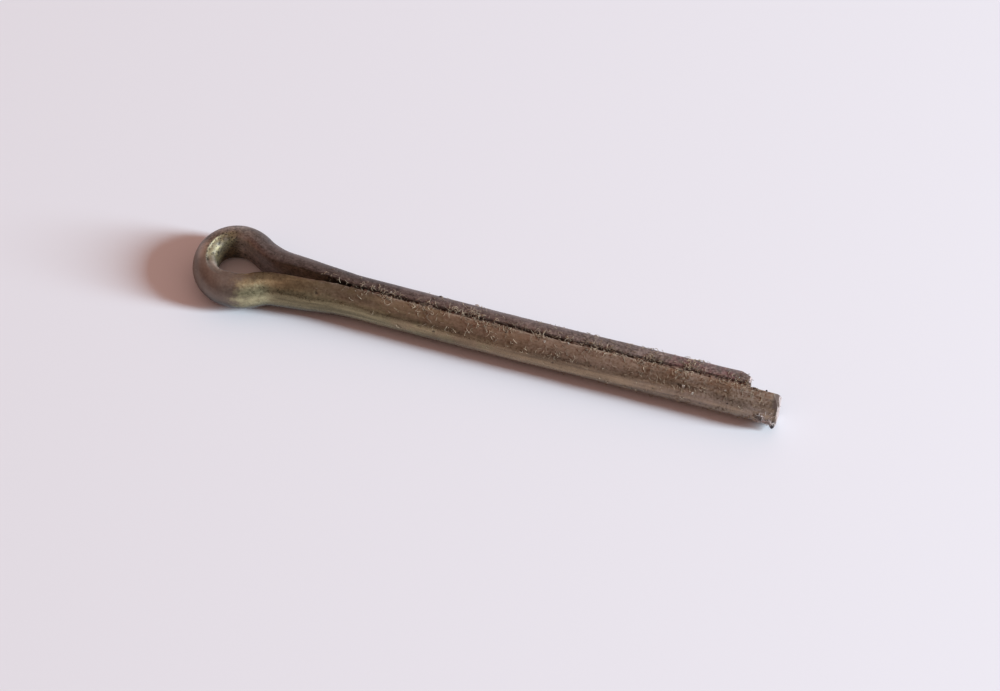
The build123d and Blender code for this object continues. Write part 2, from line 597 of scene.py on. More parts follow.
def wire_route(wire):
    """Line of the wire's flat from the long leg's tip, round the eye, to the short leg's tip."""
    eye_setback = -eye_place.x
    long_centre = eye_place + Vector((wire.eye_run, 0))
    long_bends = [
        (bow_setback(wire), -wire.bow_angle, wire.bow_radius),
        (eye_setback - wire.long_lead, wire.long_lead_angle, wire.lead_radius),
    ]
    short_bends = [
        (bow_setback(wire), wire.bow_angle, wire.bow_radius),
        (eye_setback - wire.short_lead, wire.short_lead_angle, wire.lead_radius),
    ]
    long_leg = leg_points(-1, shank_end, long_bends, wire.long_throat, long_centre, wire)
    short_leg = leg_points(1, wire.short_tip, short_bends, wire.short_throat, eye_place, wire)
    down = Vector((0, -wire.eye_radius))
    near_turn = turn_between(long_leg[-1] - long_centre, down)
    eye_turn = turn_between(down, short_leg[-1] - eye_place)
    near_arc = arc_points(long_centre, long_leg[-1], near_turn)
    eye_arc = arc_points(eye_place, eye_place + down, eye_turn - 2 * pi if eye_turn > 0 else eye_turn)
    return long_leg + near_arc + [eye_place + down] + eye_arc[:-1] + short_leg[::-1]


def split_route(wire):
    """Middle line of the split, from the short leg's tip to where the legs part."""
    start = Vector((wire.short_tip, 0))
    corner = Vector((-bow_setback(wire), 0))
    end = corner + Vector((-1, tan(wire.bow_angle))) * (wire.dirt_reach + corner.x)
    return [start, *bend_points(start, corner, end, wire.bow_radius), end]


def route_object(points, height):
    """A curve object that holds a level route."""
    curve = bpy.data.curves.new("route", "CURVE")
    curve.dimensions = "3D"
    spline = curve.splines.new("POLY")
    spline.points.add(len(points) - 1)
    for place, point in zip(spline.points, points):
        place.co = (point.x, point.y, height, 1)
    route = bpy.data.objects.new("route", curve)
    bpy.context.scene.collection.objects.link(route)
    return route


def stored(graph, geometry, name, value, kind="FLOAT"):
    """Geometry that carries a value under a name."""
    inputs = {"Geometry": geometry, "Name": name, "Value": value}
    return graph.out("GeometryNodeStoreNamedAttribute", 0, inputs, data_type=kind)


def kept(graph, name, kind="FLOAT"):
    """A value that the geometry carries under a name."""
    return graph.out("GeometryNodeInputNamedAttribute", "Attribute", {"Name": name}, data_type=kind)


def position(graph):
    """Place of a point in a Geometry Nodes tree."""
    return graph.out("GeometryNodeInputPosition", 0)


def place_mm(graph):
    """Place of a point in a Geometry Nodes tree, in millimetres."""
    return graph.scaled(position(graph), PER_MM)


def object_mm(graph):
    """Place of a point in a material, in millimetres."""
    return graph.scaled(graph.out("ShaderNodeTexCoord", "Object"), PER_MM)


def moved(graph, geometry, offset):
    """Geometry with its points moved by an offset."""
    return graph.out("GeometryNodeSetPosition", 0, {"Geometry": geometry, "Offset": offset})


def swept(graph, line, section):
    """A section swept along a line, with closed ends."""
    inputs = {"Curve": line, "Profile Curve": section, "Fill Caps": True}
    return graph.out("GeometryNodeCurveToMesh", 0, inputs)


def level_line(graph, inputs):
    """The level route that a tree is given, with points at an even spacing and its normals upright."""
    upright = graph.out("GeometryNodeSetCurveNormal", 0, {"Curve": inputs["Geometry"]}, mode="Z_UP")
    spaced = {"Curve": upright, "Length": inputs["Spacing"]}
    return graph.out("GeometryNodeResampleCurve", 0, spaced, mode="LENGTH")


def section_curve(graph, inputs):
    """Half-round section with rounded edges, its flat on the route and its round side behind it."""
    inset = inputs["Split gap"] * 0.5
    half_turn = graph.math("ARCCOSINE", inset / inputs["Shank radius"])
    arc = {
        "Resolution": ARC_POINTS,
        "Radius": inputs["Shank radius"],
        "Start Angle": pi - half_turn,
        "Sweep Angle": half_turn * 2.0,
    }
    curve = graph.out("GeometryNodeCurveArc", "Curve", arc, mode="RADIUS")
    shift = {"Geometry": curve, "Translation": graph.joined(inset, 0.0, 0.0)}
    placed = graph.out("GeometryNodeTransform", 0, shift)
    closed = graph.out("GeometryNodeSetSplineCyclic", 0, {"Geometry": placed, "Cyclic": True})
    rounding = graph.out("GeometryNodeCurveEndpointSelection", 0) * inputs["Edge radius"]
    fillet = {"Curve": closed, "Radius": rounding, "Count": CORNER_POINTS}
    rounded = graph.out("GeometryNodeFilletCurve", 0, fillet, mode="POLY")
    even = graph.out("GeometryNodeResampleCurve", 0, {"Curve": rounded, "Count": inputs["Ring points"]})
    return stored(graph, even, SECTION, place_mm(graph), "FLOAT_VECTOR")


def swept_wire(graph, inputs):
    """The section swept along the route, with rings of faces on its two ends."""
    along = graph.out("GeometryNodeSplineParameter", "Length") * PER_MM
    line = stored(graph, level_line(graph, inputs), ALONG, along)
    inwards = graph.vector("CROSS_PRODUCT", graph.out("GeometryNodeInputTangent", 0), (0, 0, 1))
    line = stored(graph, line, INWARDS, inwards, "FLOAT_VECTOR")
    mesh = swept(graph, line, section_curve(graph, inputs))
    ends = graph.out("GeometryNodeInputMeshFaceNeighbors", "Vertex Count").above(4.0)
    for ring_share in CAP_SHARES:
        ring = graph.outs("GeometryNodeExtrudeMesh", {"Mesh": mesh, "Selection": ends, "Offset Scale": 0.0})
        ends = ring["Top"]
        shrink = {"Geometry": ring["Mesh"], "Selection": ends, "Scale": ring_share}
        mesh = graph.out("GeometryNodeScaleElements", 0, shrink)
    return mesh


def section_parts(graph):
    """Depth behind the flat, as a number below zero, and height on the section, in millimetres."""
    across, up, _ = graph.split(kept(graph, SECTION, "FLOAT_VECTOR"))
    return across, abs(up)


def soft_eye(graph, inputs, mesh):
    """Rounds the wire's edges and swells its faces where it is bent into and round the eye."""
    x, y, z = graph.split(place_mm(graph))
    across, height = section_parts(graph)
    middle = eye_place.y * PER_MM
    long_side = y.ramp(middle + 0.1, middle - 0.1)
    crown = x.ramp(*CROWN_BLEND)
    bent = x.ramp(*EYE_BLEND)
    edge = crown.between(inputs["Eye edge"], inputs["Crown edge"]) * PER_MM
    half = inputs["Shank radius"] * PER_MM
    past_side = ((height - (half - edge)) / edge).most(0.0)
    past_flat = ((across + edge) / edge).most(0.0)
    past_corner = (past_side * past_side + past_flat * past_flat).root()
    pull = 1.0 / past_corner.most(1.0) - 1.0
    power = long_side.between(SHORT_SWELL_POWER, LONG_SWELL_POWER)
    power = crown.between(power, CROWN_SWELL_POWER)
    belly = 1.0 - (height / half) ** power
    long_swell = inputs["Long swell"] * x.ramp(*LONG_SWELL_BLEND)
    swell = long_side.between(inputs["Short swell"] * bent, long_swell)
    swell = crown.between(swell, inputs["Crown swell"])
    swell = swell * belly * across.ramp(*INNER_SWELL_DEPTHS) * PER_MM
    outer = long_side * across.ramp(*ROUND_SWELL_DEPTHS) * inputs["Throat swell"] * PER_MM
    outer = outer * x.ramp(*THROAT_SWELL_RISE) * x.ramp(*THROAT_SWELL_FALL)
    inwards = past_flat * pull * edge * bent + swell - outer
    rise = past_side * pull * edge * bent * z.sign()
    level = graph.scaled(kept(graph, INWARDS, "FLOAT_VECTOR"), inwards * MM)
    return moved(graph, mesh, graph.vector("ADD", level, graph.joined(0.0, 0.0, rise * MM)))


def cut_tips(graph, inputs, mesh):
    """Sheared tip of the long leg, with its rolled edge and burr, and bevelled tip of the short leg."""
    x, y, z = graph.split(position(graph))
    radius = inputs["Shank radius"]
    roll_length = inputs["Roll length"]
    roll_depth = inputs["Roll depth"]
    roll_radius = (roll_length**2.0 + roll_depth**2.0) / (roll_depth * 2.0)
    above_face = (z - radius + roll_depth).most(0.0)
    rise = roll_radius - roll_depth + above_face
    rolled = (roll_radius**2.0 - rise**2.0).most(0.0).root() - roll_length
    across, height = section_parts(graph)
    outline_y = across * MM - inputs["Split gap"] * 0.5
    off_outline = abs(y - outline_y) + abs(abs(z) - height * MM)
    rim = off_outline.ramp(RIM_INSET, 0.0) * inputs["Rim depth"]
    bevel = y.ramp(radius - inputs["Bevel depth"], radius, 0.0, inputs["Bevel length"], "LINEAR")

    def near_tip(tip):
        """How near a point is to a leg's tip: one there, and nothing where its blend begins."""
        return x.ramp(tip - TIP_BLEND, tip, kind="LINEAR")

    long_move = near_tip(inputs["Long tip"]) * (rolled - rim)
    short_move = near_tip(inputs["Short tip"]) * bevel * y.above(0.0) * -1.0
    cut = moved(graph, mesh, graph.joined(long_move + short_move, 0.0, 0.0))

    around = graph.math("ARCTAN2", z, y * -1.0)
    peak = abs(around - BURR_ANGLE).ramp(0.0, BURR_SPREAD, 1.0, 0.0, "LINEAR")
    end = x.near(inputs["Long tip"] - BURR_SETBACK, BURR_REACH)
    reach = peak * end * inputs["Burr height"] / radius
    return moved(graph, cut, graph.joined(0.0, y * reach, z * reach))


def pit_field(graph, place):
    """How deep a point lies in a corrosion pit, from nothing to one."""
    x, _, z = graph.split(place)
    from_pit = graph.cells(place, PIT_SPACING) + graph.waver(place, 3.0) * 0.12
    patch = graph.noise(place, 0.45, 3.0).ramp(0.56, 0.68)
    inner = section_parts(graph)[0].ramp(-0.9, -0.4)
    crown = x.window(cad_box[0].x * PER_MM, eye_place.x * PER_MM - 0.7, 0.4)
    worn_wall = inner * crown * z.ramp(-1.0, 0.6)
    return from_pit.ramp(0.02, 0.33, 1.0, 0.0) * patch.most(worn_wall)


def streak_place(graph, section, along):
    """Coordinates that are drawn out along the wire and close on themselves round it."""
    x, y, _ = graph.split(section)
    return graph.joined(x, y, along * STREAK_STRETCH)


def weathered(graph, inputs, mesh):
    """Gives the drawn wire its streaks, slow unevenness, nicked edges and pits, above the floor."""
    place = place_mm(graph)
    across, height = section_parts(graph)
    streaks = streak_place(graph, kept(graph, SECTION, "FLOAT_VECTOR"), kept(graph, ALONG))
    edges = across.ramp(-0.6, -0.15) * height.ramp(1.6, 2.05)
    pitting = pit_field(graph, place)
    marked = stored(graph, mesh, PITTING, pitting)
    relief = (
        graph.waver(place, 0.3) * inputs["Unevenness"]
        + graph.waver(streaks, 1.8, 3.0) * inputs["Streak depth"]
        + graph.waver(place, 1.3, 3.0) * edges * inputs["Nick depth"]
        - pitting * inputs["Pit depth"]
    )
    worn = moved(graph, marked, graph.scaled(graph.out("GeometryNodeInputNormal", "Normal"), relief))
    x, y, z = graph.split(position(graph))
    rested = graph.joined(x, y, z.most(inputs["Floor"]))
    return graph.out("GeometryNodeSetPosition", 0, {"Geometry": worn, "Position": rested})


def smoothed(graph, mesh):
    """A mesh that is shaded smooth, with its sharp edges kept."""
    faces = {"Geometry": mesh, "Shade Smooth": True}
    mesh = graph.out("GeometryNodeSetShadeSmooth", 0, faces, domain="FACE")
    sharp = graph.out("GeometryNodeInputMeshEdgeAngle", "Unsigned Angle").above(SHARP_ANGLE)
    edges = {"Geometry": mesh, "Selection": sharp, "Shade Smooth": False}
    return graph.out("GeometryNodeSetShadeSmooth", 0, edges, domain="EDGE")


def wire_graph(values):
    """Tree that sweeps, cuts and weathers the wire along its route."""
    graph, inputs = geometry_graph("Folded wire", values)
    mesh = soft_eye(graph, inputs, swept_wire(graph, inputs))
    mesh = weathered(graph, inputs, cut_tips(graph, inputs, mesh))
    return end_tree(graph, smoothed(graph, mesh), inputs["Finish"])


def dirt_graph(values):
    """Tree that packs dirt with a lumpy top into the split."""
    graph, inputs = geometry_graph("Packed dirt", values)
    block = {"Width": inputs["Width"], "Height": inputs["Height"]}
    block = graph.out("GeometryNodeCurvePrimitiveQuadrilateral", 0, block)
    section = graph.out("GeometryNodeResampleCurve", 0, {"Curve": block, "Count": DIRT_RING_POINTS})
    mesh = swept(graph, level_line(graph, inputs), section)
    place = place_mm(graph)
    x = graph.split(place)[0]
    z = graph.split(position(graph))[2]
    top = z.ramp(inputs["Top"] - inputs["Height"] * 0.5, inputs["Top"])
    lumps = graph.waver(place, 0.7, 3.0) + graph.waver(place, 3.5) * 0.5
    rise = top * (lumps + x.ramp(6.0, 20.0, 0.0, 0.7)) * inputs["Lumps"]
    heaped = moved(graph, mesh, graph.joined(0.0, 0.0, rise))
    return end_tree(graph, smoothed(graph, heaped), inputs["Finish"])


def off_split(x, y):
    """Distance from the split's middle line, which leans with the shank's bow, in millimetres."""
    wire = bpy.context.scene.cotter_pin_wire
    run = (-bow_setback(wire) * PER_MM - x).most(0.0)
    return y - run * tan(wire.bow_angle)


def tarnished_steel(finish, wire):
    """Dull plating, brown tarnish, rust and dust, with bright metal where it is worn or cut, and painted
    highlights, reflection and shade.

    Limits on x, y, z, depth and height are in millimetres, and those on the noises are their levels.
    """
    material, graph, shader = material_graph(PIN_SLOT)
    place = object_mm(graph)
    x, y, z = graph.split(place)
    section = graph.out("ShaderNodeAttribute", "Vector", attribute_name=SECTION)
    along = graph.out("ShaderNodeAttribute", "Fac", attribute_name=ALONG)
    pitting = graph.out("ShaderNodeAttribute", "Fac", attribute_name=PITTING)
    depth, up, _ = graph.split(section)
    height = abs(up)
    streaks = graph.noise(streak_place(graph, section, along), 1.6, 4.0, 0.6)
    patches = graph.noise(place, 0.35, 5.0, 0.6)
    mottle = graph.noise(place, 1.5, 4.0, 0.6)
    speckle = graph.noise(place, 4.0, 3.0, 0.65)

    # The two legs
    far_leg = off_split(x, y).ramp(-0.12, 0.12)
    near_leg = 1.0 - far_leg
    towards_tips = (x + patches.ramp(0.2, 0.8, -8.0, 8.0)).ramp(-15.0, -4.0)
    soot = x.window(-28.0, -17.0, 5.0) + x.window(6.0, 10.0, 2.5) * 0.55
    soot = far_leg * soot * patches.ramp(0.25, 0.5, 0.6, 1.0)
    rust = z.ramp(1.3, 1.8) * near_leg * x.window(-20.0, 10.0, 5.0) * mottle.ramp(0.2, 0.55)
    red = far_leg * x.window(15.5, 21.5, 1.5) * mottle.ramp(0.4, 0.55)
    # Worn bare metal along the long leg's flat edges, made lighter as a painted highlight where the edge
    # catches the light
    edge = depth.ramp(-0.42, -0.12) * height.ramp(1.9, 2.12) * mottle.ramp(0.42, 0.58)
    edge = edge * near_leg * x.ramp(-29.0, -24.0)

    # The eye and the long leg's throat
    eye_x, eye_y = eye_place * PER_MM
    way = graph.vector("NORMALIZE", graph.joined(x - eye_x, y - eye_y, 0.0))

    def lies_towards(azimuth):
        """How near a point's way from the eye's centre is to a direction: one if it is the same."""
        return graph.vector("DOT_PRODUCT", way, direction(azimuth), output="Value")

    uneven_x = x + mottle.swing(0.8)
    eye = uneven_x.ramp(-28.5, -32.0)
    crown_way = lies_towards(CROWN_MIDDLE)
    crown_rise = z.ramp(0.4, 1.5) * depth.window(-1.4, -0.9, 0.35) * eye
    # Painted light on top of the crown's outer side, and painted shade on top of its back
    crown_side_light = lies_towards(CROWN_LIT_SIDE).ramp(0.93, 1.0) * crown_rise
    crown_back_shade = lies_towards(CROWN_SHADED_BACK).ramp(0.95, 1.0) * crown_rise
    # Dull grey metal on top of the crown, and a painted grazing reflection along the crown's far top edge
    crown_top = crown_way.ramp(0.2, 0.9) * z.ramp(0.2, 1.5) * eye * depth.window(-1.1, -0.8, 0.6)
    gold = crown_way.ramp(0.4, 0.85) * x.ramp(eye_x + 2.5, eye_x) * depth.ramp(-1.3, -0.2)
    gold = gold * mottle.ramp(0.25, 0.55, 0.35, 1.0)
    fine_pits = graph.cells(place, FINE_PIT_SPACING).ramp(0.22, 0.4, 1.0, 0.0)
    fine_pits = fine_pits * gold.ramp(0.25, 0.6) * mottle.ramp(0.36, 0.5)
    # Inner flats in the eye and where the legs part: made lighter, partly as cleaner metal and partly as
    # painted light
    inner = depth.ramp(-0.4, -0.1) * x.ramp(-20.5, -23.5) * height.ramp(2.3, 1.7) * crown_way.ramp(0.9, 0.5)
    # Painted highlight on the outer side of the long leg's bend into the eye, where it faces the key light
    throat = uneven_x.window(-29.8, -27.8, 1.4) * y.ramp(0.0, -1.5) * mottle.ramp(0.25, 0.55, 0.35, 0.9)
    throat = throat * z.ramp(-1.2, 0.3, 0.3, 1.0) * z.ramp(2.22, 2.0)

    # The two tips
    long_tip = shank_end * PER_MM
    short_tip = wire.short_tip * PER_MM
    past_roll = x.ramp(long_tip - 0.27, long_tip - 0.2)
    facing_tips = graph.split(graph.out("ShaderNodeNewGeometry", "Normal"))[0]
    cut_end = facing_tips.ramp(0.61, 0.74) * x.ramp(20.0, 21.0) * past_roll.most(far_leg)
    uncut = 1.0 - cut_end
    # Painted shade: a dark ring round the long leg just before its cut face, below the rolled edge
    tip_shade_ring = x.window(long_tip - 0.38, long_tip, 0.1) * uncut * z.ramp(1.65, 1.5)
    roll = x.ramp(long_tip - 1.0, long_tip - 0.5) * z.ramp(1.5, 1.65) * uncut
    # Painted highlight on top of the short leg's bevelled tip
    rim_highlight = far_leg * x.window(short_tip - 0.18, short_tip, 0.04) * z.ramp(1.5, 1.8) * uncut
    off_axis = (y * y + z * z).root()
    burr = off_axis.ramp(2.34, 2.5) * x.ramp(long_tip - 1.2, long_tip - 0.9)

    # Dust; painted shade underneath and next to the eye; painted light and a painted floor reflection on
    # the legs
    settled = z.ramp(0.4, 2.0).most(x.ramp(4.0, 18.0)) * x.ramp(-10.0, 22.0, 0.1, 1.0)
    settled = settled * z.ramp(-2.0, -0.5) * patches.ramp(0.35, 0.6, 0.4, 1.0)
    dust = settled * speckle.ramp(0.2, 0.65) * finish.dust_cover
    # Painted shade: the wire's underside darkened, standing for the shadow on the floor that it reflects
    under = z.ramp(0.5, -0.9) * x.ramp(-16.0, 18.0, 1.0, 0.6) * finish.painted_shade
    # Painted shade on the long leg next to the eye: darker on top in its throat and where the legs part,
    # and low on its side
    throat_top = z.ramp(2.0, 2.2, 0.0, 1.3) * x.window(-28.5, -26.5, 2.0)
    lead_top = (z.ramp(1.5, 2.1) * x.window(-25.0, -17.0, 2.0)).most(throat_top)
    lead_low = z.ramp(1.0, -0.2) * x.ramp(-17.0, -22.0) * 0.7
    painted_lead_shade = (lead_top + lead_low) * near_leg * finish.lead_shade
    # Painted highlight on the short leg's round side where the legs part
    outer_lead_highlight = depth.ramp(-0.5, -1.0) * x.window(-27.5, -24.0, 2.0) * far_leg
    # Painted reflection of the floor: a lighter band along the long leg's round side, above its middle,
    # towards the tips
    floor_reflection_band = z.window(0.55, 1.2, 0.35) * x.ramp(0.0, 12.0) * near_leg

    def coated(base, *coats):
        """Colours with coats laid over them in turn. Each coat has its cover and its colour."""
        for cover, rgb in coats:
            base = cover.tint(base, opaque(rgb))
        return base

    colours = towards_tips.tint(opaque(finish.olive), opaque(finish.umber))
    colours = graph.scaled(colours, streaks.ramp(0.35, 0.65, 0.6, 1.3, "LINEAR"))
    colours = coated(colours, (far_leg, finish.brown), (eye, finish.eye_brown), (soot, finish.soot))
    inner_light_gain = x.ramp(-29.0, -25.5, finish.inner_light_gain, finish.lead_light_gain)
    colours = graph.scaled(colours, inner.between(1.0, inner_light_gain))
    colours = coated(
        colours,
        (rust * 0.7, finish.rust),
        (red * 0.8, finish.red_rust),
        (crown_top * 0.75, finish.crown_grey_and_sheen),
        (throat, finish.throat_highlight),
        (gold, finish.gold),
        (edge, finish.edge_wear_and_highlight),
    )
    dust_colour = x.ramp(18.0, 25.0).tint(opaque(finish.dust), opaque(finish.tip_dust))
    colours = coated(dust.tint(colours, dust_colour), (roll * 0.9, finish.roll))
    # Painted light: the long leg's cut face lighter towards its foot, which faces down
    shear_foot_light = far_leg.between(z.ramp(-1.2, 1.2, finish.shear_foot_light, 1.2), 1.0)
    colours = cut_end.tint(colours, graph.scaled(finish.shear, shear_foot_light))
    colours = coated(colours, (rim_highlight, finish.rim_highlight), (burr, finish.burr))
    contrast = far_leg.between(finish.long_speckle, finish.short_speckle)
    # Tone: random speckle and mottle. Less for painted shade underneath, next to the eye and round the long
    # tip, and at the crown's back. More for painted light on a floor-reflection band, the crown's outer
    # side and the short leg's round side by the eye
    tone = (
        1.0
        + speckle.swing(1.0) * contrast
        + mottle.swing(0.7) * contrast
        - under
        - painted_lead_shade
        - tip_shade_ring * 0.5
        + floor_reflection_band * 0.27
        + crown_side_light * 0.5
        - crown_back_shade * 0.28
        + outer_lead_highlight * 0.45
    )
    dark_spots = pitting.ramp(0.1, 0.8, 0.0, 0.85).most(fine_pits * 0.85)
    colours = coated(graph.scaled(colours, tone), (dark_spots, finish.pit))
    graph.feed(shader.inputs["Base Color"], colours)

    tarnish = far_leg.most(eye)
    rough = tarnish.between(0.31, 0.48)
    dulled = gold.most(crown_top)
    for cover, level in ((rust, 0.55), (dulled, 0.55), (dust, 0.9), (cut_end, 0.6), (roll, 1.0)):
        rough = cover.between(rough, level)
    rough = rough + speckle.ramp(0.3, 0.7, -0.1, 0.1, "LINEAR")
    graph.feed(shader.inputs["Roughness"], rough)
    metal = rust.between(tarnish.between(0.85, 0.75), 0.5)
    graph.feed(shader.inputs["Metallic"], dust.most(cut_end, roll).between(metal, 0.0))
    relief = streaks * 0.5 + speckle * 0.6 + mottle * 0.5
    bump = {"Height": relief, "Strength": 0.5, "Distance": 0.05 * MM}
    graph.feed(shader.inputs["Normal"], graph.out("ShaderNodeBump", "Normal", bump))
    return material


def dull_finish(name, rgb, scale, low, high, tip_rgb=None):
    """A dull finish whose tone goes from low to high from spot to spot. It may turn paler by the burr."""
    material, graph, shader = material_graph(name)
    place = object_mm(graph)
    tone = graph.noise(place, scale, 3.0).ramp(0.3, 0.7, low, high)
    if tip_rgb:
        x, _, z = graph.split(place)
        by_burr = x.ramp(24.4, 25.4) * z.ramp(1.5, 0.8)
        rgb = by_burr.tint(opaque(rgb), opaque(tip_rgb))
    graph.feed(shader.inputs["Base Color"], graph.scaled(rgb, tone))
    shader.inputs["Roughness"].default_value = 0.85
    shader.inputs["Specular IOR Level"].default_value = 0.15
    return material


def settled_lint(graph):
    """Where lint has settled: in the split, on the long leg towards its tip, and in clumps elsewhere."""
    place = place_mm(graph)
    x, y, z = graph.split(place)
    from_split = off_split(x, y)
    split = from_split.window(-0.4, 0.35, 0.4) * z.ramp(1.7, 2.1)
    split = split * x.ramp(-20.0, -10.0, 1.2, 3.2) * x.ramp(24.6, 23.6)
    long_side = from_split.ramp(0.0, -0.35)
    long_top = long_side * z.ramp(0.9, 1.7) * x.ramp(-19.0, -5.0, 0.2, 1.3)
    long_top = long_top * x.ramp(6.0, 18.0, 1.0, 0.7) * x.ramp(25.8, 25.0)
    long_low = long_side * z.window(-0.9, 0.9, 0.4) * x.ramp(2.0, 22.0, 0.03, 1.1)
    first, *others = [x.near(middle, CLUMP_REACH) for middle in FAR_CLUMPS]
    short_cover = x.ramp(-22.0, 12.0, 0.2, 0.6) + first.most(*others) * 3.0
    short_top = from_split.ramp(0.2, 0.5) * z.ramp(0.8, 1.5) * short_cover
    tip = x.window(24.9, 26.5, 0.6) * z.window(-0.6, 0.5, 0.4) * 12.0
    cover = split + long_top + long_low + short_top + tip
    on_shank = x.ramp(-24.0, -19.0) * x.ramp(26.8, 26.4)
    return cover * on_shank * graph.noise(place, 0.5).ramp(0.4, 0.62, 0.2, 1.5)


def settled_dust(graph):
    """Where grains have settled: on the upper side towards the tips and in the mouth of the split."""
    place = place_mm(graph)
    x, y, z = graph.split(place)
    upper = z.ramp(0.2, 1.6) * x.ramp(-26.0, 14.0, 0.15, 1.0)
    mouth = x.window(-19.5, -15.5, 1.0) * abs(off_split(x, y)).ramp(0.9, 0.3) * z.ramp(1.6, 2.0)
    return (upper + mouth * 3.0) * graph.noise(place, 0.8).ramp(0.4, 0.65)


def random_number(graph, low, high, seed, kind="FLOAT"):
    """A number for each point, between two limits."""
    inputs = {"Min": low, "Max": high, "Seed": seed}
    return graph.out("FunctionNodeRandomValue", "Value", inputs, data_type=kind)


def fibre_shapes(graph, inputs):
    """The fibre's shapes, as instances to pick from."""
    size = inputs["Length"]
    join = graph.add("GeometryNodeJoinGeometry")
    for arch, side in FIBRE_SHAPES:
        bow = {
            "Resolution": FIBRE_SEGMENTS,
            "Start": graph.joined(size * -0.5, 0.0, 0.0),
            "Middle": graph.joined(0.0, size * side, size * arch),
            "End": graph.joined(size * 0.5, 0.0, size * (arch / 3)),
        }
        line = graph.out("GeometryNodeCurveQuadraticBezier", 0, bow)
        ring = {"Resolution": FIBRE_SIDES, "Radius": inputs["Radius"]}
        fibre = swept(graph, line, graph.out("GeometryNodeCurvePrimitiveCircle", 0, ring))
        graph.feed(join.inputs[0], graph.out("GeometryNodeGeometryToInstance", 0, {"Geometry": fibre}))
    return Field(graph, join.outputs[0])


def scatter_tree(name, values, cover, seed_step=0.0):
    """A tree that scatters points over the wire by a cover: its graph, its inputs and the points."""
    graph, inputs = geometry_graph(name, values)
    scatter = {
        "Mesh": inputs["Geometry"],
        "Density": cover(graph) * inputs["Density"],
        "Seed": inputs["Seed"] + seed_step,
    }
    return graph, inputs, graph.outs("GeometryNodeDistributePointsOnFaces", scatter)


def fibre_graph(values):
    """Tree that scatters short curved fibres over the wire."""
    graph, inputs, points = scatter_tree("Lint fibres", values, settled_lint)
    limits = ((-0.3, 0.3), (-0.5, 0.2), (0.0, 2 * pi))
    tilt = graph.joined(*(random_number(graph, *pair, seed) for seed, pair in enumerate(limits, 1)))
    tilt = graph.out("FunctionNodeEulerToRotation", 0, {0: tilt})
    turn = {"Rotation": points["Rotation"], "Rotate By": tilt}
    sizes = [random_number(graph, low, 1.3, seed) for low, seed in ((0.4, 5), (0.5, 6), (0.5, 7))]
    placed = {
        "Points": points["Points"],
        "Instance": fibre_shapes(graph, inputs),
        "Pick Instance": True,
        "Instance Index": random_number(graph, 0, len(FIBRE_SHAPES) - 1, 4, "INT"),
        "Rotation": graph.out("FunctionNodeRotateRotation", 0, turn, rotation_space="LOCAL"),
        "Scale": graph.joined(*sizes),
    }
    return end_tree(graph, graph.out("GeometryNodeInstanceOnPoints", 0, placed), inputs["Finish"])


def grain_graph(values):
    """Tree that scatters grains of dust over the wire."""
    graph, inputs, points = scatter_tree("Dust grains", values, settled_dust, GRAIN_SEED_STEP)
    grain = {"Radius": inputs["Radius"], "Subdivisions": 1}
    turns = [random_number(graph, 0.0, 2 * pi, seed) for seed in (1, 2, 3)]
    sizes = [random_number(graph, 0.3, 1.5, seed) for seed in (4, 5, 6)]
    placed = {
        "Points": points["Points"],
        "Instance": graph.out("GeometryNodeMeshIcoSphere", 0, grain),
        "Rotation": graph.out("FunctionNodeEulerToRotation", 0, {0: graph.joined(*turns)}),
        "Scale": graph.joined(*sizes),
    }
    return end_tree(graph, graph.out("GeometryNodeInstanceOnPoints", 0, placed), inputs["Finish"])


def crumb_mesh(crumbs, wire, material):
    """Lumps stuck to the shank at their places."""
    lumps = bmesh.new()
    for millimetres, degrees, size in crumbs:
        x = millimetres * MM
        lean = max(-bow_setback(wire) - x, 0) * tan(wire.bow_angle)
        out = Vector((0, -cos(radians(degrees)), sin(radians(degrees))))
        centre = Vector((x, lean, 0)) + out * shank_radius
        made = bmesh.ops.create_icosphere(lumps, subdivisions=2, radius=size * MM)
        for vert in made["verts"]:
            rough = noise.noise_vector(vert.co * PER_MM / size * CRUMB_WAVES + centre * PER_MM)
            flat = vert.co - out * vert.co.dot(out) * CRUMB_FLATTENING
            vert.co = centre + flat * (1 + CRUMB_SWELL * rough.x) + rough * size * MM * CRUMB_JAG
    mesh = bpy.data.meshes.new("crumbs")
    lumps.to_mesh(mesh)
    lumps.free()
    mesh.materials.append(material)
    return mesh


def carried(piece):
    """Ties a piece to the pin's body."""
    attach(piece, PIN_BODY)


class COTTERPIN_OT_wire(bpy.types.Operator):
    """Build the folded wire along its route"""

    bl_idname = "cotter_pin.wire"
    bl_label = "Folded wire"

    def execute(self, context):
        wire = context.scene.cotter_pin_wire
        values = {name.replace("_", " ").capitalize(): getattr(wire, name) for name in WIRE_INPUTS}
        values |= {
            "Shank radius": shank_radius,
            "Long tip": shank_end,
            "Floor": floor_height,
            "Finish": tarnished_steel(context.scene.cotter_pin_finish, wire),
        }
        route = route_object(wire_route(wire), 0)
        piece = grown(route, wire_graph(values), values, WIRE_PIECE)
        bpy.data.objects.remove(route)
        carried(piece)
        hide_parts(PIN_NODE)
        return {"FINISHED"}


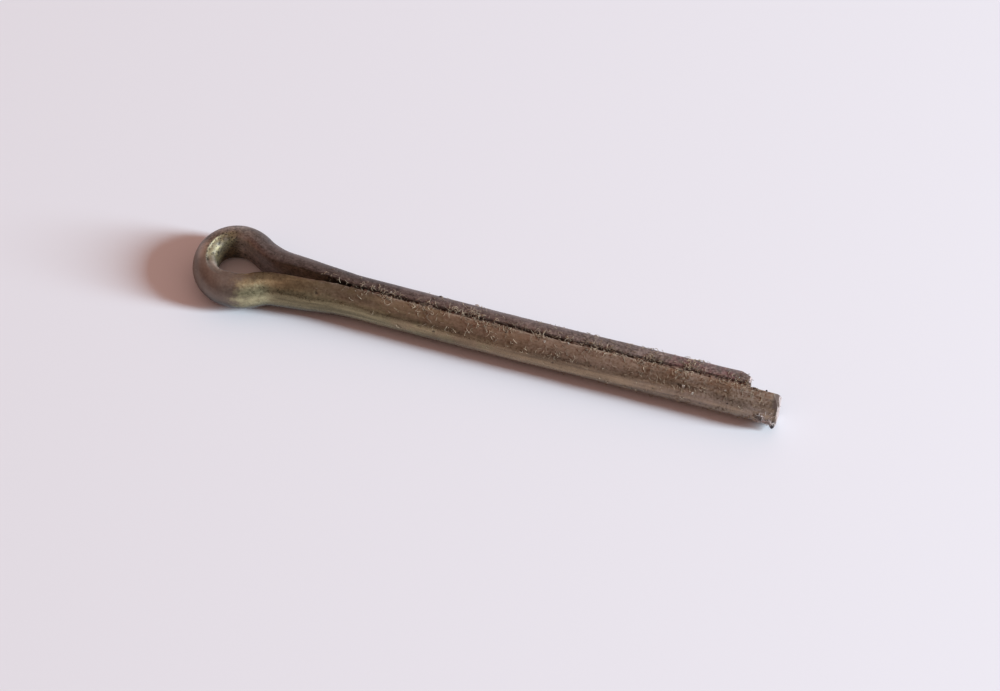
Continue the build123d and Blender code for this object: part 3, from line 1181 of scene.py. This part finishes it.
class COTTERPIN_OT_dirt(bpy.types.Operator):
    """Pack dirt into the split and stick crumbs to the wire"""

    bl_idname = "cotter_pin.dirt"
    bl_label = "Dirt and crumbs"

    def execute(self, context):
        wire = context.scene.cotter_pin_wire
        lint = context.scene.cotter_pin_lint
        values = {
            "Width": wire.dirt_width,
            "Height": wire.dirt_height,
            "Top": wire.dirt_top,
            "Lumps": wire.dirt_lumps,
            "Spacing": wire.spacing,
            "Finish": dull_finish("packed_dirt", lint.dirt_colour, 4.0, 0.4, 1.8),
        }
        route = route_object(split_route(wire), wire.dirt_top - wire.dirt_height / 2)
        carried(grown(route, dirt_graph(values), values, "split_dirt"))
        bpy.data.objects.remove(route)
        dark = dull_finish("dark_crumb", lint.crumb_colour, 4.0, 0.6, 1.4)
        pale = dull_finish("pale_chip", lint.chip_colour, 4.0, 0.7, 1.1)
        noise.seed_set(lint.seed)
        carried(shown(crumb_mesh(DARK_CRUMBS, wire, dark), "dark_crumbs"))
        carried(shown(crumb_mesh(PALE_CHIPS, wire, pale), "pale_chips"))
        return {"FINISHED"}


class COTTERPIN_OT_fibres(bpy.types.Operator):
    """Scatter pale fibres over the wire"""

    bl_idname = "cotter_pin.fibres"
    bl_label = "Lint fibres"

    def execute(self, context):
        lint = context.scene.cotter_pin_lint
        values = {
            "Density": lint.fibre_density * PER_MM**2,
            "Length": lint.fibre_length,
            "Radius": lint.fibre_radius,
            "Seed": lint.seed,
            "Finish": dull_finish("lint", lint.fibre_colour, 1.2, 0.45, 1.45, lint.tip_fibre_colour),
        }
        carried(grown(bpy.data.objects[WIRE_PIECE], fibre_graph(values), values, "lint_fibres"))
        return {"FINISHED"}


class COTTERPIN_OT_grains(bpy.types.Operator):
    """Scatter grains of dust over the wire"""

    bl_idname = "cotter_pin.grains"
    bl_label = "Dust grains"

    def execute(self, context):
        lint = context.scene.cotter_pin_lint
        values = {
            "Density": lint.grain_density * PER_MM**2,
            "Radius": lint.grain_radius,
            "Seed": lint.seed,
            "Finish": dull_finish("dust", lint.grain_colour, 1.2, 0.5, 1.2),
        }
        carried(grown(bpy.data.objects[WIRE_PIECE], grain_graph(values), values, "dust_grains"))
        return {"FINISHED"}


def pale_floor(rgb):
    """A plain pale floor under the pin."""
    signs = ((-1, -1), (1, -1), (1, 1), (-1, 1))
    corners = [(FLOOR_HALF_SIDE * sx, FLOOR_HALF_SIDE * sy, floor_height) for sx, sy in signs]
    mesh = bpy.data.meshes.new("floor")
    mesh.from_pydata(corners, [], [range(4)])
    material, _, shader = material_graph("pale_floor")
    shader.inputs["Base Color"].default_value = opaque(rgb)
    shader.inputs["Roughness"].default_value = 1.0
    shader.inputs["Specular IOR Level"].default_value = 0.0
    mesh.materials.append(material)
    shown(mesh, "floor")


def aimed(thing, place, target):
    """Puts a camera or a light at a place and turns it to its target."""
    thing.location = place
    thing.rotation_euler = (Vector(target) - Vector(place)).to_track_quat("-Z", "Y").to_euler()
    bpy.context.scene.collection.objects.link(thing)
    return thing


def room_light(stage):
    """Warm light from the room, darker near the horizon and in front of the pin."""
    world = bpy.data.worlds.new("room")
    world.use_nodes = True
    graph = Graph(world.node_tree)
    way = graph.out("ShaderNodeTexCoord", "Generated")
    level = graph.split(way)[2].ramp(0.0, 0.7, 0.5, 1.2)
    front = direction(stage.azimuth - pi / 2, stage.front_elevation)
    facing = graph.vector("DOT_PRODUCT", way, front, output="Value")
    shade = facing.ramp(0.7, 0.97, 1.0, stage.front_level)
    background = world.node_tree.nodes["Background"]
    background.inputs["Color"].default_value = opaque(stage.room_colour)
    graph.feed(background.inputs["Strength"], level * shade * stage.room_strength)
    bpy.context.scene.world = world


def key_light(stage):
    """Tall soft light from the right."""
    lamp = bpy.data.lights.new("key", "AREA")
    lamp.shape = "RECTANGLE"
    lamp.size = stage.key_width
    lamp.size_y = stage.key_height
    lamp.energy = stage.key_power
    lamp.color = stage.key_colour
    key = bpy.data.objects.new("key", lamp)
    aimed(key, direction(stage.key_azimuth, stage.key_elevation) * stage.key_distance, (0, 0, 0))


class COTTERPIN_OT_stage(bpy.types.Operator):
    """Set up the floor, the lights and the camera"""

    bl_idname = "cotter_pin.stage"
    bl_label = "Stage"

    def execute(self, context):
        stage = context.scene.cotter_pin_stage
        pale_floor(stage.floor_colour)
        room_light(stage)
        key_light(stage)
        lens = bpy.data.cameras.new("camera")
        lens.sensor_width = SENSOR_WIDTH
        lens.lens = stage.lens
        lens.clip_start = MM
        camera = bpy.data.objects.new("camera", lens)
        target = Vector(stage.target)
        back = direction(stage.azimuth - pi / 2, stage.elevation)
        context.scene.camera = aimed(camera, target + back * stage.distance, target)
        context.scene.view_settings.view_transform = "Standard"
        return {"FINISHED"}


OPERATORS = [
    COTTERPIN_OT_wire,
    COTTERPIN_OT_dirt,
    COTTERPIN_OT_fibres,
    COTTERPIN_OT_grains,
    COTTERPIN_OT_stage,
]
SETTINGS = {
    "cotter_pin_wire": WireSettings,
    "cotter_pin_finish": FinishSettings,
    "cotter_pin_lint": LintSettings,
    "cotter_pin_stage": StageSettings,
}


class COTTERPIN_PT_panel(bpy.types.Panel):
    """Lists the pieces of the pin and its stage"""

    bl_label = "Cotter pin"
    bl_space_type = "VIEW_3D"
    bl_region_type = "UI"
    bl_category = "Cotter pin"

    def draw(self, context):
        for operator in OPERATORS:
            self.layout.operator(operator.bl_idname)


CLASSES = [*SETTINGS.values(), *OPERATORS, COTTERPIN_PT_panel]


def register():
    """Adds the classes and their settings."""
    for kind in CLASSES:
        bpy.utils.register_class(kind)
    for name, kind in SETTINGS.items():
        setattr(bpy.types.Scene, name, PointerProperty(type=kind))


def unregister():
    """Takes the settings and the classes away again."""
    for name in SETTINGS:
        delattr(bpy.types.Scene, name)
    for kind in reversed(CLASSES):
        bpy.utils.unregister_class(kind)


def main():
    """Builds the pin and its stage."""
    register()
    for operator in ("wire", "dirt", "fibres", "grains", "stage"):
        getattr(bpy.ops.cotter_pin, operator)()


if __name__ == "__main__":
    main()
